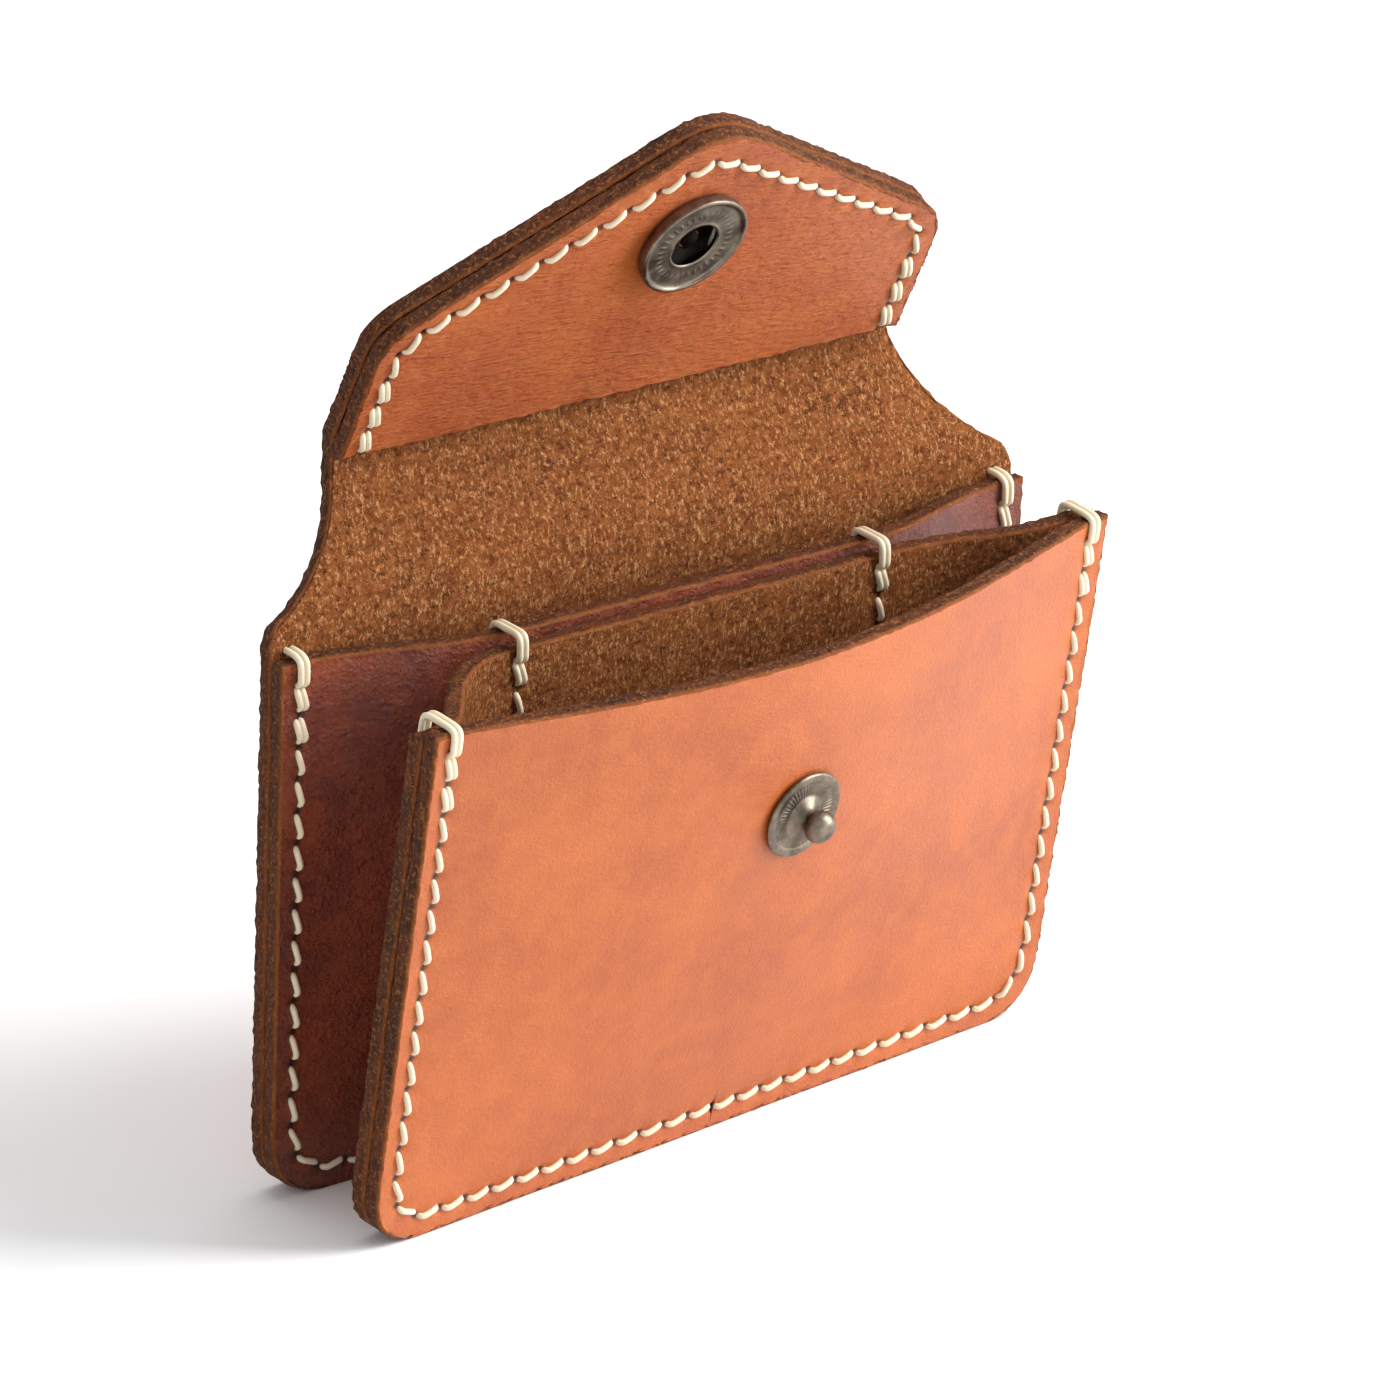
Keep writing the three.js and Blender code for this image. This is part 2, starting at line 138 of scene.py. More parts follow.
linerPlane = hide + holder["plyGap"]
rearward = (rearInverse @ frontFrame).to_3x3() @ Vector((0, 1, 0))


def linerFace(x, z):
    local = rearInverse @ (frontFrame @ Vector((x, linerPlane + hide, z)))
    reach = 0
    for _ in range(3):
        point = local + rearward * reach
        reach += (rearFace(point.x, point.z) - holder["contactGap"] - point.y) / rearward.y
    foot = ease((z - 2 * seamZ) / (holder["dividerFoot"] - 2 * seamZ))
    return linerPlane + reach * wing(x) * foot


def linerTop(x):
    low, high = 50.0, 75.0
    for _ in range(24):
        z = (low + high) / 2
        point = rearInverse @ (frontFrame @ Vector((x, linerFace(x, z), z)))
        low, high = (low, z) if point.z > height - holder["contactGap"] else (z, high)
    return min(height, low)


# Outlines: half width against height, with rounded corners.
def edgeTable(corners, steps=10):
    table = []
    for i, (x, z, radius) in enumerate(corners):
        at = Vector((x, z))
        if not radius or i in (0, len(corners) - 1):
            table.append((z, x))
            continue
        before = (Vector(corners[i - 1][:2]) - at).normalized()
        after = (Vector(corners[i + 1][:2]) - at).normalized()
        run = radius / math.tan(before.angle(after) / 2)
        start, end = at + before * run, at + after * run
        for k in range(steps + 1):
            t = k / steps
            point = start * (1 - t) ** 2 + at * (2 * t * (1 - t)) + end * t**2
            table.append((point.y, point.x))
    return table


def halfWidth(table, z):
    for (z0, x0), (z1, x1) in zip(table, table[1:]):
        if z0 <= z <= z1 and z1 > z0:
            return x0 + (x1 - x0) * (z - z0) / (z1 - z0)
    return table[0][1] if z < table[0][0] else table[-1][1]


half = width / 2
pocketEdge = edgeTable([(0, 0, 0), (half, 0, holder["cornerRadius"]), (half, height, 0)])
flapHalf = holder["flapWidth"] / 2
flapSlope = math.atan2(holder["flapTip"] - holder["flapSide"], flapHalf)
flapPeak = holder["flapTip"] + 0.5 * holder["flapTipRadius"] * math.tan(flapSlope) * math.sin(flapSlope)
flapCorners = [
    (flapHalf, 0, 0),
    (flapHalf, holder["flapSide"], holder["flapCornerRadius"]),
    (0, flapPeak, holder["flapTipRadius"]),
    (-flapHalf, holder["flapSide"], 0),
]
flapEdge = [(z, x) for z, x in edgeTable(flapCorners, 16) if x >= 0]
shoulderHalf, waistHalf = holder["shoulder"] / 2, holder["neckWaist"] / 2
neckPull = (waistHalf + 1.5, holder["neckLength"] * 0.35)  # where the neck's concave side is drawn to


shoulderRun = 2.4  # the back narrows to the shoulder over this height below the fold
waistRun = 1.5  # and widens from the waist to the flap over this one


def backEdge(v):
    if v <= foldV - shoulderRun:
        return halfWidth(pocketEdge, v)
    if v <= foldV:
        return half + (shoulderHalf - half) * ease((v - foldV + shoulderRun) / shoulderRun)
    if v <= flapV:
        z = v - foldV
        a, b = holder["neckLength"] - 2 * neckPull[1], 2 * neckPull[1]
        t = (-b + math.sqrt(b * b + 4 * a * z)) / (2 * a)
        return (1 - t) ** 2 * shoulderHalf + 2 * t * (1 - t) * neckPull[0] + t * t * waistHalf
    return waistHalf + (flapHalf - waistHalf) * ease((v - flapV) / waistRun)


# Columns close up a little towards a rounded side.
def crowded(u):
    return 0.6 * u + 0.4 * math.sin(math.pi / 2 * u)


# Above this height the flap's rows fan out from its straight sides to its pointed top.
fanFoot = 8.0


def outlineTop(table, x):
    for (z0, x0), (z1, x1) in zip(table, table[1:]):
        if x1 < x0 and x1 <= x <= x0:
            return z0 + (z1 - z0) * (x0 - x) / (x0 - x1)
    if x <= table[-1][1]:
        return table[-1][0]
    return next(z for z, reach in reversed(table) if reach >= flapHalf - 1e-6)


def fanned(x, z):
    if z <= fanFoot:
        return z
    share = (z - fanFoot) / (holder["flapTip"] - fanFoot)
    return fanFoot + share * (outlineTop(flapEdge, abs(x)) - fanFoot)


# Rows that crowd together at a rounded foot, then run evenly.
def rowHeights(low, high, step, crowdLow=False):
    crowd = [0, 0.06, 0.18, 0.36, 0.6, 0.9, 1.3, 1.8]
    start = [low + c for c in crowd] if crowdLow else [low]
    count = round((high - start[-1]) / step)
    between = [start[-1] + (high - start[-1]) * k / count for k in range(1, count)]
    return start + between + [high]


# Materials.
def hexColour(code):
    parts = [int(code[i : i + 2], 16) / 255 for i in (1, 3, 5)]
    return [c / 12.92 if c <= 0.04045 else ((c + 0.055) / 1.055) ** 2.4 for c in parts] + [1]


def addNode(tree, kind, inputs=None, output=0, **settings):
    node = tree.nodes.new(kind)
    for key, value in settings.items():
        setattr(node, key, value)
    for key, value in (inputs or {}).items():
        if isinstance(value, bpy.types.NodeSocket):
            tree.links.new(value, node.inputs[key])
        else:
            node.inputs[key].default_value = value
    return node.outputs[output]


# A material with its shader's inputs: sockets are linked, plain values are set on the shader itself.
def newMaterial(name, build):
    material = bpy.data.materials.new(name)
    material.use_nodes = True
    tree = material.node_tree
    tree.nodes.clear()
    surface = addNode(tree, "ShaderNodeBsdfPrincipled", build(tree))
    output = tree.nodes.new("ShaderNodeOutputMaterial")
    tree.links.new(surface, output.inputs["Surface"])
    return material


# Speckles by name: features per millimetre, detail, roughness and how each axis is stretched.
def speckles(tree, place, table):
    found = {}
    for name, (scale, detail, rough, stretch) in table.items():
        at = addNode(tree, "ShaderNodeMapping", {0: place, 3: stretch})
        found[name] = addNode(
            tree, "ShaderNodeTexNoise", {"Vector": at, "Scale": scale, "Detail": detail, "Roughness": rough}
        )
    return found


# Tones laid over a colour: a mask, the span of it that shows, how strongly, and the tone.
def tinted(tree, colour, tones):
    for mask, low, high, strength, tone in tones:
        seen = addNode(tree, "ShaderNodeMapRange", {0: mask, 1: low, 2: high, 3: 0, 4: strength})
        mixed = {0: seen, 6: colour, 7: hexColour(tone)}
        colour = addNode(tree, "ShaderNodeMix", mixed, 2, data_type="RGBA")
    return colour


# Reliefs laid one over another: a height, its depth in millimetres and its strength.
def raised(tree, reliefs):
    under = {}
    for relief, depth, strength in reliefs:
        inputs = {"Height": relief, "Distance": depth * mm, "Strength": strength, **under}
        normal = addNode(tree, "ShaderNodeBump", inputs)
        under = {"Normal": normal}
    return normal


even = (1, 1, 1)


# Vegetable-tanned calf, grain side, waxed and plated smooth: warm and cloudy from the dye, closed fine
# pores, faint drawn creases, a soft sheen that breaks up over the grain. Scales are per millimetre.
def calfGrain(name, colours, finish):
    def build(tree):
        place = addNode(tree, "ShaderNodeAttribute", None, 1, attribute_name="restPlace")
        pricked = addNode(tree, "ShaderNodeAttribute", None, 2, attribute_name="pricked")
        found = speckles(
            tree,
            place,
            {
                "cloud": (0.055, 4, 0.5, even),
                "patch": (0.33, 5, 0.62, even),
                "fleck": (2.6, 4, 0.7, even),
                "pore": (4.2, 3, 0.6, even),
                "drawn": (finish["creases"], 5, 0.68, finish["creaseStretch"]),
            },
        )
        cellPlace = addNode(tree, "ShaderNodeMapping", {0: place, 3: finish["cellStretch"]})
        cellInputs = {"Vector": cellPlace, "Scale": finish["cells"]}
        cells = addNode(tree, "ShaderNodeTexVoronoi", cellInputs, feature="SMOOTH_F1")
        colour = tinted(
            tree,
            hexColour(colours["deep"]),
            (
                (found["cloud"], 0.35, 0.66, 1, colours["base"]),
                (found["patch"], 0.42, 0.78, colours["patchy"], colours["light"]),
                (found["fleck"], 0.56, 0.74, colours["flecked"], colours["pore"]),
                # the needle holes: near-black painted shade where each hole sinks in
                (pricked, 0.2, 0.75, 0.95, colours["hole"]),
            ),
        )
        off = addNode(tree, "ShaderNodeMath", {0: found["drawn"], 1: 0.5}, operation="SUBTRACT")
        fold = addNode(tree, "ShaderNodeMath", {0: off}, operation="ABSOLUTE")
        crease = addNode(tree, "ShaderNodeMapRange", {0: fold, 1: 0, 2: finish["creaseWidth"]})
        normal = raised(
            tree,
            (
                (crease, finish["creaseDepth"], finish["creased"]),
                (found["patch"], 0.3, 0.4),
                (cells, finish["cellDepth"], finish["celled"]),
                (found["pore"], 0.11, finish["pored"]),
            ),
        )
        rough = addNode(
            tree,
            "ShaderNodeMapRange",
            {0: found["patch"], 1: 0.3, 2: 0.75, 3: finish["rough"] - 0.07, 4: finish["rough"] + 0.09},
        )
        return {
            "Base Color": colour,
            "Roughness": rough,
            "Normal": normal,
            "IOR": 1.48,
            "Specular IOR Level": finish["specular"],
            "Coat Weight": finish["coat"],
            "Coat Roughness": finish["coatRough"],
        }

    return newMaterial(name, build)


# The flesh side of the same hide: short brushed fibres, dry, darker and mottled, no gloss.
def fleshSide(name, colours):
    def build(tree):
        place = addNode(tree, "ShaderNodeAttribute", None, 1, attribute_name="restPlace")
        pricked = addNode(tree, "ShaderNodeAttribute", None, 2, attribute_name="pricked")
        found = speckles(
            tree,
            place,
            {
                "cloud": (0.09, 4, 0.5, even),
                "nap": (0.8, 6, 0.78, (1, 1, 1.25)),
                "fibre": (1.8, 5, 0.82, (1.4, 1, 0.7)),
                "pit": (1.7, 4, 0.8, (1, 1, 1.2)),
            },
        )
        colour = tinted(
            tree,
            hexColour(colours["deep"]),
            (
                (found["cloud"], 0.3, 0.7, 1, colours["base"]),
                (found["nap"], 0.4, 0.62, 0.85, colours["light"]),
                (found["fibre"], 0.53, 0.62, 0.8, colours["fleck"]),
                (found["pit"], 0.54, 0.62, 0.75, colours["pit"]),
                # the needle holes: near-black painted shade where each hole sinks in
                (pricked, 0.25, 0.8, 0.9, colours["hole"]),
            ),
        )
        return {
            "Base Color": colour,
            "Normal": raised(tree, ((found["nap"], 0.35, 0.8), (found["fibre"], 0.2, 0.9))),
            "Roughness": 0.92,
            "Specular IOR Level": 0.12,
        }

    return newMaterial(name, build)


# Raw cut edge, rubbed but not painted: layered fibres along the cut, paler where the grain skin ends.
def cutEdge(name, colours):
    def build(tree):
        place = addNode(tree, "ShaderNodeAttribute", None, 1, attribute_name="restPlace")
        across = addNode(tree, "ShaderNodeAttribute", None, 2, attribute_name="ply")
        found = speckles(
            tree,
            place,
            {
                "layers": (1.1, 5, 0.7, (0.45, 2.2, 0.45)),
                "tuft": (2.2, 5, 0.75, even),
                "cloud": (0.06, 3, 0.5, even),
            },
        )
        colour = tinted(
            tree,
            hexColour(colours["deep"]),
            (
                (found["layers"], 0.36, 0.64, 1, colours["base"]),
                (found["cloud"], 0.45, 0.62, 0.5, colours["deep"]),
                (found["tuft"], 0.53, 0.66, 0.75, colours["light"]),
                (across, 0.22, 0.0, 0.5, colours["skin"]),
            ),
        )
        return {
            "Base Color": colour,
            "Normal": raised(tree, ((found["layers"], 0.4, 0.85), (found["tuft"], 0.22, 0.8))),
            "Roughness": 0.78,
            "Specular IOR Level": 0.25,
        }

    return newMaterial(name, build)


# Waxed linen thread: the twist is a slanted rib every 1.1 mm, its valleys painted grey as shade.
def waxedThread(name, colours):
    def build(tree):
        uv = addNode(tree, "ShaderNodeUVMap", uv_map="UVMap")
        around = addNode(tree, "ShaderNodeSeparateXYZ", {0: uv}, 0)
        run = addNode(tree, "ShaderNodeSeparateXYZ", {0: uv}, 1)
        turns = addNode(tree, "ShaderNodeMath", {0: around, 1: 4 * math.pi}, operation="MULTIPLY")
        twist = {0: run, 1: 1.8 * math.pi, 2: turns}
        climb = addNode(tree, "ShaderNodeMath", twist, operation="MULTIPLY_ADD")
        wave = addNode(tree, "ShaderNodeMath", {0: climb}, operation="SINE")
        rib = addNode(tree, "ShaderNodeMapRange", {0: wave, 1: -1, 2: 1})
        place = addNode(tree, "ShaderNodeTexCoord", None, 3)
        fuzz = speckles(tree, place, {"fuzz": (2600, 3, 0.6, even)})["fuzz"]
        colour = tinted(
            tree,
            hexColour(colours["valleyShade"]),
            ((rib, 0.0, 0.45, 1, colours["strand"]), (fuzz, 0.5, 0.75, 0.35, colours["wax"])),
        )
        return {
            "Base Color": colour,
            "Normal": raised(tree, ((rib, 0.16, 0.75), (fuzz, 0.05, 0.5))),
            "Roughness": 0.55,
            "Specular IOR Level": 0.4,
        }

    return newMaterial(name, build)


# Antiqued brass: plated, darkened and rubbed back, so the metal is grey-brown with warm brighter wear.
def antiqueBrass(name, colours, rough):
    def build(tree):
        place = addNode(tree, "ShaderNodeTexCoord", None, 3)
        found = speckles(tree, place, {"patina": (420, 5, 0.6, even), "grime": (1900, 4, 0.65, even)})
        colour = tinted(
            tree,
            hexColour(colours["dark"]),
            (
                (found["patina"], 0.36, 0.66, 1, colours["base"]),
                (found["grime"], 0.55, 0.8, 0.5, colours["wearAndShadeFleck"]),
            ),
        )
        polish = {0: found["patina"], 1: 0.3, 2: 0.7, 3: rough - 0.06, 4: rough + 0.12}
        roughness = addNode(tree, "ShaderNodeMapRange", polish)
        return {
            "Base Color": colour,
            "Roughness": roughness,
            "Normal": raised(tree, ((found["grime"], 0.02, 0.35),)),
            "Metallic": 1,
        }

    return newMaterial(name, build)


# Drawn spring wire: plain steel, streaked along its length by the die.
def springWire(name, colours):
    def build(tree):
        place = addNode(tree, "ShaderNodeTexCoord", None, 3)
        draw = speckles(tree, place, {"draw": (2500, 3, 0.6, (1, 1, 0.2))})["draw"]
        return {
            "Base Color": tinted(tree, hexColour(colours["dark"]), ((draw, 0, 1, 1, colours["base"]),)),
            "Roughness": addNode(tree, "ShaderNodeMapRange", {0: draw, 1: 0.3, 2: 0.7, 3: 0.2, 4: 0.36}),
            "Metallic": 1,
        }

    return newMaterial(name, build)


tanColours = {
    "base": "#b45c23",
    "deep": "#a24c18",
    "light": "#c46e31",
    "pore": "#8d4018",
    # hole: near-black painted shade in the needle holes
    "hole": "#1c0c04",
    "patchy": 0.5,
    "flecked": 0.35,
}
tanFinish = {
    "cellStretch": (1, 1, 1.15),
    "cells": 1.9,
    "cellDepth": 0.07,
    "celled": 0.75,
    "pored": 1.0,
    "creases": 0.9,
    "creaseStretch": (0.5, 1, 1.6),
    "creaseWidth": 0.09,
    "creaseDepth": 0.12,
    "creased": 0.2,
    "rough": 0.4,
    "specular": 0.5,
    "coat": 0.15,
    "coatRough": 0.32,
}
tanGrain = calfGrain("waxedCalfTan", tanColours, tanFinish)
liningGrain = calfGrain(
    "waxedCalfTanLining",
    {**tanColours, "base": "#cc6828", "deep": "#b3511b", "light": "#d87f3e"},
    {
        **tanFinish,
        "creaseStretch": (0.3, 1, 1.5),
        "creaseWidth": 0.2,
        "creaseDepth": 0.32,
        "creased": 1.0,
        "cellStretch": (0.6, 1, 1.3),
        "cells": 1.35,
        "cellDepth": 0.3,
        "celled": 1.0,
        "pored": 1.0,
        "rough": 0.42,
        "specular": 0.4,
        "coat": 0.1,
    },
)
# The rear pocket's panel: the same tan calf, coloured darker browns as painted shade, for it stands in the
# shade behind the front pocket.
shadedTanGrain = calfGrain(
    "waxedCalfTanPaintedShade",
    {**tanColours, "base": "#8a350d", "deep": "#651f06", "light": "#ab4d1a", "pore": "#4a1a07"},
    {
        **tanFinish,
        "rough": 0.27,
        "coat": 0.4,
        "coatRough": 0.2,
        "creased": 1.0,
        "creaseWidth": 0.18,
        "creaseDepth": 0.26,
        "creaseStretch": (0.8, 1, 0.9),
        "cells": 1.5,
        "cellDepth": 0.2,
        "celled": 0.9,
    },
)
flesh = fleshSide(
    "brushedFleshSide",
    {
        "base": "#743d18",
        "deep": "#592b0f",
        "light": "#975a30",
        "fleck": "#d09a66",
        "pit": "#2c1406",
        # hole: near-black painted shade in the needle holes
        "hole": "#180b04",
    },
)
edgeColours = {"base": "#6b3512", "deep": "#2e1507", "light": "#b0703a", "skin": "#a05a26"}
edgeTan = cutEdge("cutEdgeTan", edgeColours)
creamThread = waxedThread("waxedLinenThread", {"valleyShade": "#8f7d5c", "strand": "#e0d4b8", "wax": "#c4b48f"})
brass = antiqueBrass("antiquedBrass", {"dark": "#5d554b", "base": "#8c8173", "wearAndShadeFleck": "#b8a98f"}, 0.38)
# Near-black painted shade for the socket's cavity and the cap's post seen through its mouth; its flecks are
# part of that shade.
cavityColours = {"dark": "#0d0b09", "base": "#1b1814", "wearAndShadeFleck": "#332d25"}
cavityShadeBrass = antiqueBrass("brassCavityPaintedShade", cavityColours, 0.6)  # near black: painted shade in the socket's cavity and on the cap's post
springSteel = springWire("drawnSpringWire", {"dark": "#8d8a83", "base": "#c9c6bd"})
print("materials ready")


# Hide panels: a sheet formed by place(u, row), given its thickness, its rim softened.
def finishPiece(name, bm, materials, smooth=True):
    mesh = bpy.data.meshes.new(name)
    bm.to_mesh(mesh)
    bm.free()
    for material in materials:
        mesh.materials.append(material)
    piece = bpy.data.objects.new(name, mesh)
    bpy.context.scene.collection.objects.link(piece)
    for polygon in mesh.polygons:
        polygon.use_smooth = smooth
    return piece


sheet = {"step": 0.56, "waviness": 0.12, "rim": 0.4}  # grid step, waves, rounding of the cut rims
fray = {"coarse": 0.17, "fine": 0.19}
# shadeSpread: how far the painted shade of each needle hole reaches round it
prick = {"near": 2.6, "depth": 0.4, "reach": 0.62, "swell": 0.12, "swellReach": 1.8, "shadeSpread": 0.6}


def formHide(name, columns, rows, place, materials, centred=False, holes=(), seamless=()):
    bm = bmesh.new()
    ply = bm.verts.layers.float.new("ply")
    pricked = bm.verts.layers.float.new("pricked")
    restPlace = bm.verts.layers.float_vector.new("restPlace")
    last = len(rows) - 1
    bmesh.ops.create_grid(bm, x_segments=columns, y_segments=last, size=0.5)
    for vert in bm.verts:
        vert.co = place(2 * vert.co.x, rows[round((vert.co.y + 0.5) * last)])
    bm.normal_update()
    normals = {vert: vert.normal.copy() for vert in bm.verts}
    front = list(bm.faces)
    made = bmesh.ops.extrude_face_region(bm, geom=front, use_keep_orig=True)["geom"]
    back = [item for item in made if isinstance(item, bmesh.types.BMFace)]
    backVerts = [item for item in made if isinstance(item, bmesh.types.BMVert)]
    tree = kdtree.KDTree(len(normals))
    for i, vert in enumerate(normals):
        tree.insert(vert.co, i)
    tree.balance()
    ordered = list(normals)
    for vert in backVerts:
        source = ordered[tree.find(vert.co)[1]]
        vert.co = source.co - normals[source] * (hide / 2 if centred else hide)
    if centred:
        for vert, normal in normals.items():
            vert.co = vert.co + normal * (hide / 2)
    for face in bm.faces:
        face.material_index = 2
    for face in front:
        face.material_index = 0
    for face in back:
        face.material_index = 1
    bmesh.ops.recalc_face_normals(bm, faces=bm.faces[:])
    for vert in backVerts:
        vert[ply] = 1.0
    across = [edge for edge in bm.edges if abs(edge.verts[0][ply] - edge.verts[1][ply]) > 0.5]
    bmesh.ops.subdivide_edges(bm, edges=across, cuts=3)
    bm.normal_update()

    def hidden(vert):
        return any(test(vert.co) for test in seamless)

    rims = []
    for edge in bm.edges:
        if {face.material_index for face in edge.link_faces} in ({0, 2}, {1, 2}):
            if all(hidden(vert) for vert in edge.verts):
                edge.smooth = False
            else:
                rims.append(edge)
    bmesh.ops.bevel(
        bm, geom=rims, offset=sheet["rim"], segments=3, profile=0.5, affect="EDGES", material=2
    )
    bm.normal_update()
    for edge in bm.edges:
        inJoint = len(edge.link_faces) == 2 and all(hidden(vert) for vert in edge.verts)
        if inJoint and edge.calc_face_angle() > 0.8:
            edge.smooth = False
    cut = [face for face in bm.faces if face.material_index == 2]
    frayed = {vert for face in cut for vert in face.verts if not hidden(vert)}
    for vert in frayed:
        amount = fray["coarse"] * noise.noise(vert.co * 0.9) + fray["fine"] * noise.noise(vert.co * 3.1)
        vert.co += vert.normal * amount
    for vert in bm.verts:
        vert[restPlace] = vert.co
    if holes:
        pricks = kdtree.KDTree(len(holes))
        for i, hole in enumerate(holes):
            pricks.insert(hole, i)
        pricks.balance()
        bm.normal_update()
        moves = []
        for vert in bm.verts:
            distance = pricks.find(vert.co)[2]
            if distance < prick["near"]:
                sunk = prick["depth"] * math.exp(-((distance / prick["reach"]) ** 2))
                sunk += prick["swell"] * math.exp(-((distance / prick["swellReach"]) ** 2))
                moves.append((vert, vert.normal * sunk))
                # painted shade of the needle hole, fading away from it
                vert[pricked] = math.exp(-((distance / prick["shadeSpread"]) ** 2))
        for vert, move in moves:
            vert.co = vert.co - move
    bmesh.ops.scale(bm, vec=(mm, mm, mm), verts=bm.verts[:])
    return finishPiece(name, bm, materials)


# Thread: a tube along a route of points, its UV running with the thread in millimetres.
def smoothRoute(points, steps):
    route = []
    ends = [2 * points[0] - points[1], *points, 2 * points[-1] - points[-2]]
    for i in range(1, len(ends) - 2):
        a, b, c, d = ends[i - 1 : i + 3]
        for k in range(steps):
            t = k / steps
            square, cube = 2 * a - 5 * b + 4 * c - d, 3 * b - a - 3 * c + d
            route.append(0.5 * ((2 * b) + (c - a) * t + square * t**2 + cube * t**3))
    return [*route, points[-1].copy()]


def layThread(bm, route, radius, sides=8, closed=True):
    uv = bm.loops.layers.uv.verify()
    rings = len(route) - 1
    tangents = [(route[min(i + 1, rings)] - route[max(i - 1, 0)]).normalized() for i in range(rings + 1)]
    across = tangents[0].orthogonal().normalized()
    frames, run = [], [0.0]
    for i, tangent in enumerate(tangents):
        across = (across - tangent * across.dot(tangent)).normalized()
        frames.append((across.copy(), tangent.cross(across)))
        if i:
            run.append(run[-1] + (route[i] - route[i - 1]).length)
    made = bmesh.ops.create_grid(bm, x_segments=sides, y_segments=rings, size=0.5)["verts"]
    faces = {face for vert in made for face in vert.link_faces}
    where = {vert: (vert.co.x + 0.5, round((vert.co.y + 0.5) * rings)) for vert in made}
    for face in faces:
        for loop in face.loops:
            around, ring = where[loop.vert]
            loop[uv].uv = (around, run[ring])
    for vert, (around, ring) in where.items():
        a, b = frames[ring]
        angle = 2 * math.pi * around
        size = 0.0 if closed and ring in (0, rings) else radius
        vert.co = route[ring] + a * (size * math.cos(angle)) + b * (size * math.sin(angle))
    bmesh.ops.remove_doubles(bm, verts=made, dist=1e-4)


threadSize = {"radius": 0.38, "loopRadius": 0.4, "pitch": 3.95, "slant": 0.24, "inset": 0.7, "pair": 0.39}


# One stitch from hole to hole: down into each hole, pulled tight between them, slightly slanted.
def layStitch(bm, a, b, out, shift=0.0, radius=threadSize["radius"]):
    along = (b - a).normalized()
    side = along.cross(out).normalized()
    slant = side * threadSize["slant"]
    inset = along * threadSize["inset"]
    a, b = a + inset + side * shift + slant, b - inset + side * shift - slant
    length = (b - a).length
    points = [
        a - out * 0.8,
        a + along * 0.04 - out * 0.25,
        a + along * (0.17 * length) + out * (radius * 0.3),
        (a + b) / 2 + out * (radius * 0.42),
        b - along * (0.17 * length) + out * (radius * 0.3),
        b - along * 0.04 - out * 0.25,
        b - out * 0.8,
    ]
    layThread(bm, smoothRoute(points, 2), radius)


def threadPiece(name, bm):
    bmesh.ops.recalc_face_normals(bm, faces=bm.faces[:])
    bmesh.ops.scale(bm, vec=(mm, mm, mm), verts=bm.verts[:])
    return finishPiece(name, bm, [creamThread])


# Evenly spaced points on a polyline in x and z.
def stepAlong(line, pitch):
    lengths = [(b - a).length for a, b in zip(line, line[1:])]
    total = sum(lengths)
    count = round(total / pitch)
    found, i, before = [], 0, 0.0
    for k in range(count + 1):
        want = total * k / count
        while i < len(lengths) - 1 and before + lengths[i] < want:
            before += lengths[i]
            i += 1
        found.append(line[i].lerp(line[i + 1], clamp((want - before) / lengths[i])))
    return found


def pocketSeamLine():
    bend = holder["cornerRadius"] - holder["seamInset"]
    foot = seamZ + bend
    left = [Vector((-seamX, height - 2.6))]
    for k in range(13):
        angle = math.pi + k * math.pi / 24
        left.append(Vector((-seamX + bend + bend * math.cos(angle), foot + bend * math.sin(angle))))
    return left + [Vector((-p.x, p.y)) for p in reversed(left)]


pocketHoles = stepAlong(pocketSeamLine(), threadSize["pitch"])


def onFace(matrix, y, points):
    return [matrix @ Vector((p.x, y, p.y)) for p in points]


# A pocket's whole seam: both faces, doubled for the first stitches, and looped over the top edges.
def pocketStitches(name, matrix, loops):
    bm = bmesh.new()
    turn = matrix.to_3x3()
    for y, out in ((0, Vector((0, -1, 0))), (unitDepth, Vector((0, 1, 0)))):
        holes = onFace(matrix, y, pocketHoles)
        last = len(holes) - 2
        for i in range(len(holes) - 1):
            doubled = i < 2 or i > last - 2
            shifts = (-threadSize["pair"], threadSize["pair"]) if doubled else (0.0,)
            for shift in shifts:
                layStitch(bm, holes[i], holes[i + 1], turn @ out, shift * 0.95)
    for side in (-1, 1):
        for strand in (-threadSize["pair"], threadSize["pair"]):
            points = []
            for k, (y, z) in enumerate(loops):
                points.append(matrix @ Vector((side * seamX + strand * (1 + 0.15 * k / 6), y, height + z)))
            layThread(bm, smoothRoute(points, 4), threadSize["loopRadius"])
    return threadPiece(name, bm)


frontLoops = [
    (0.6, -2.9),
    (-0.3, -2.5),
    (-0.42, -1.4),
    (-0.3, -0.1),
    (0.35, 0.42),
    (unitDepth / 2, 0.5),
    (unitDepth - 0.35, 0.42),
    (unitDepth + 0.3, -0.1),
    (unitDepth + 0.42, -1.4),
    (unitDepth + 0.3, -2.5),
    (unitDepth - 0.6, -2.9),
]
rearLoops = [
    (0.6, -2.9),
    (-0.3, -2.5),
    (-0.42, -1.4),
    (-0.3, -0.1),
    (0.35, 0.45),
    (1.4, 0.62),
    (2.6, 0.62),
    (unitDepth - 0.5, 0.62),
    (unitDepth + 0.4, 0.1),
    (unitDepth + 0.42, -1.2),
    (unitDepth + 0.3, -2.5),
    (unitDepth - 0.6, -2.9),
]
frontStitches = pocketStitches("frontSeamStitches", frontFrame, frontLoops)
rearStitches = pocketStitches("rearSeamStitches", rearFrame, rearLoops)


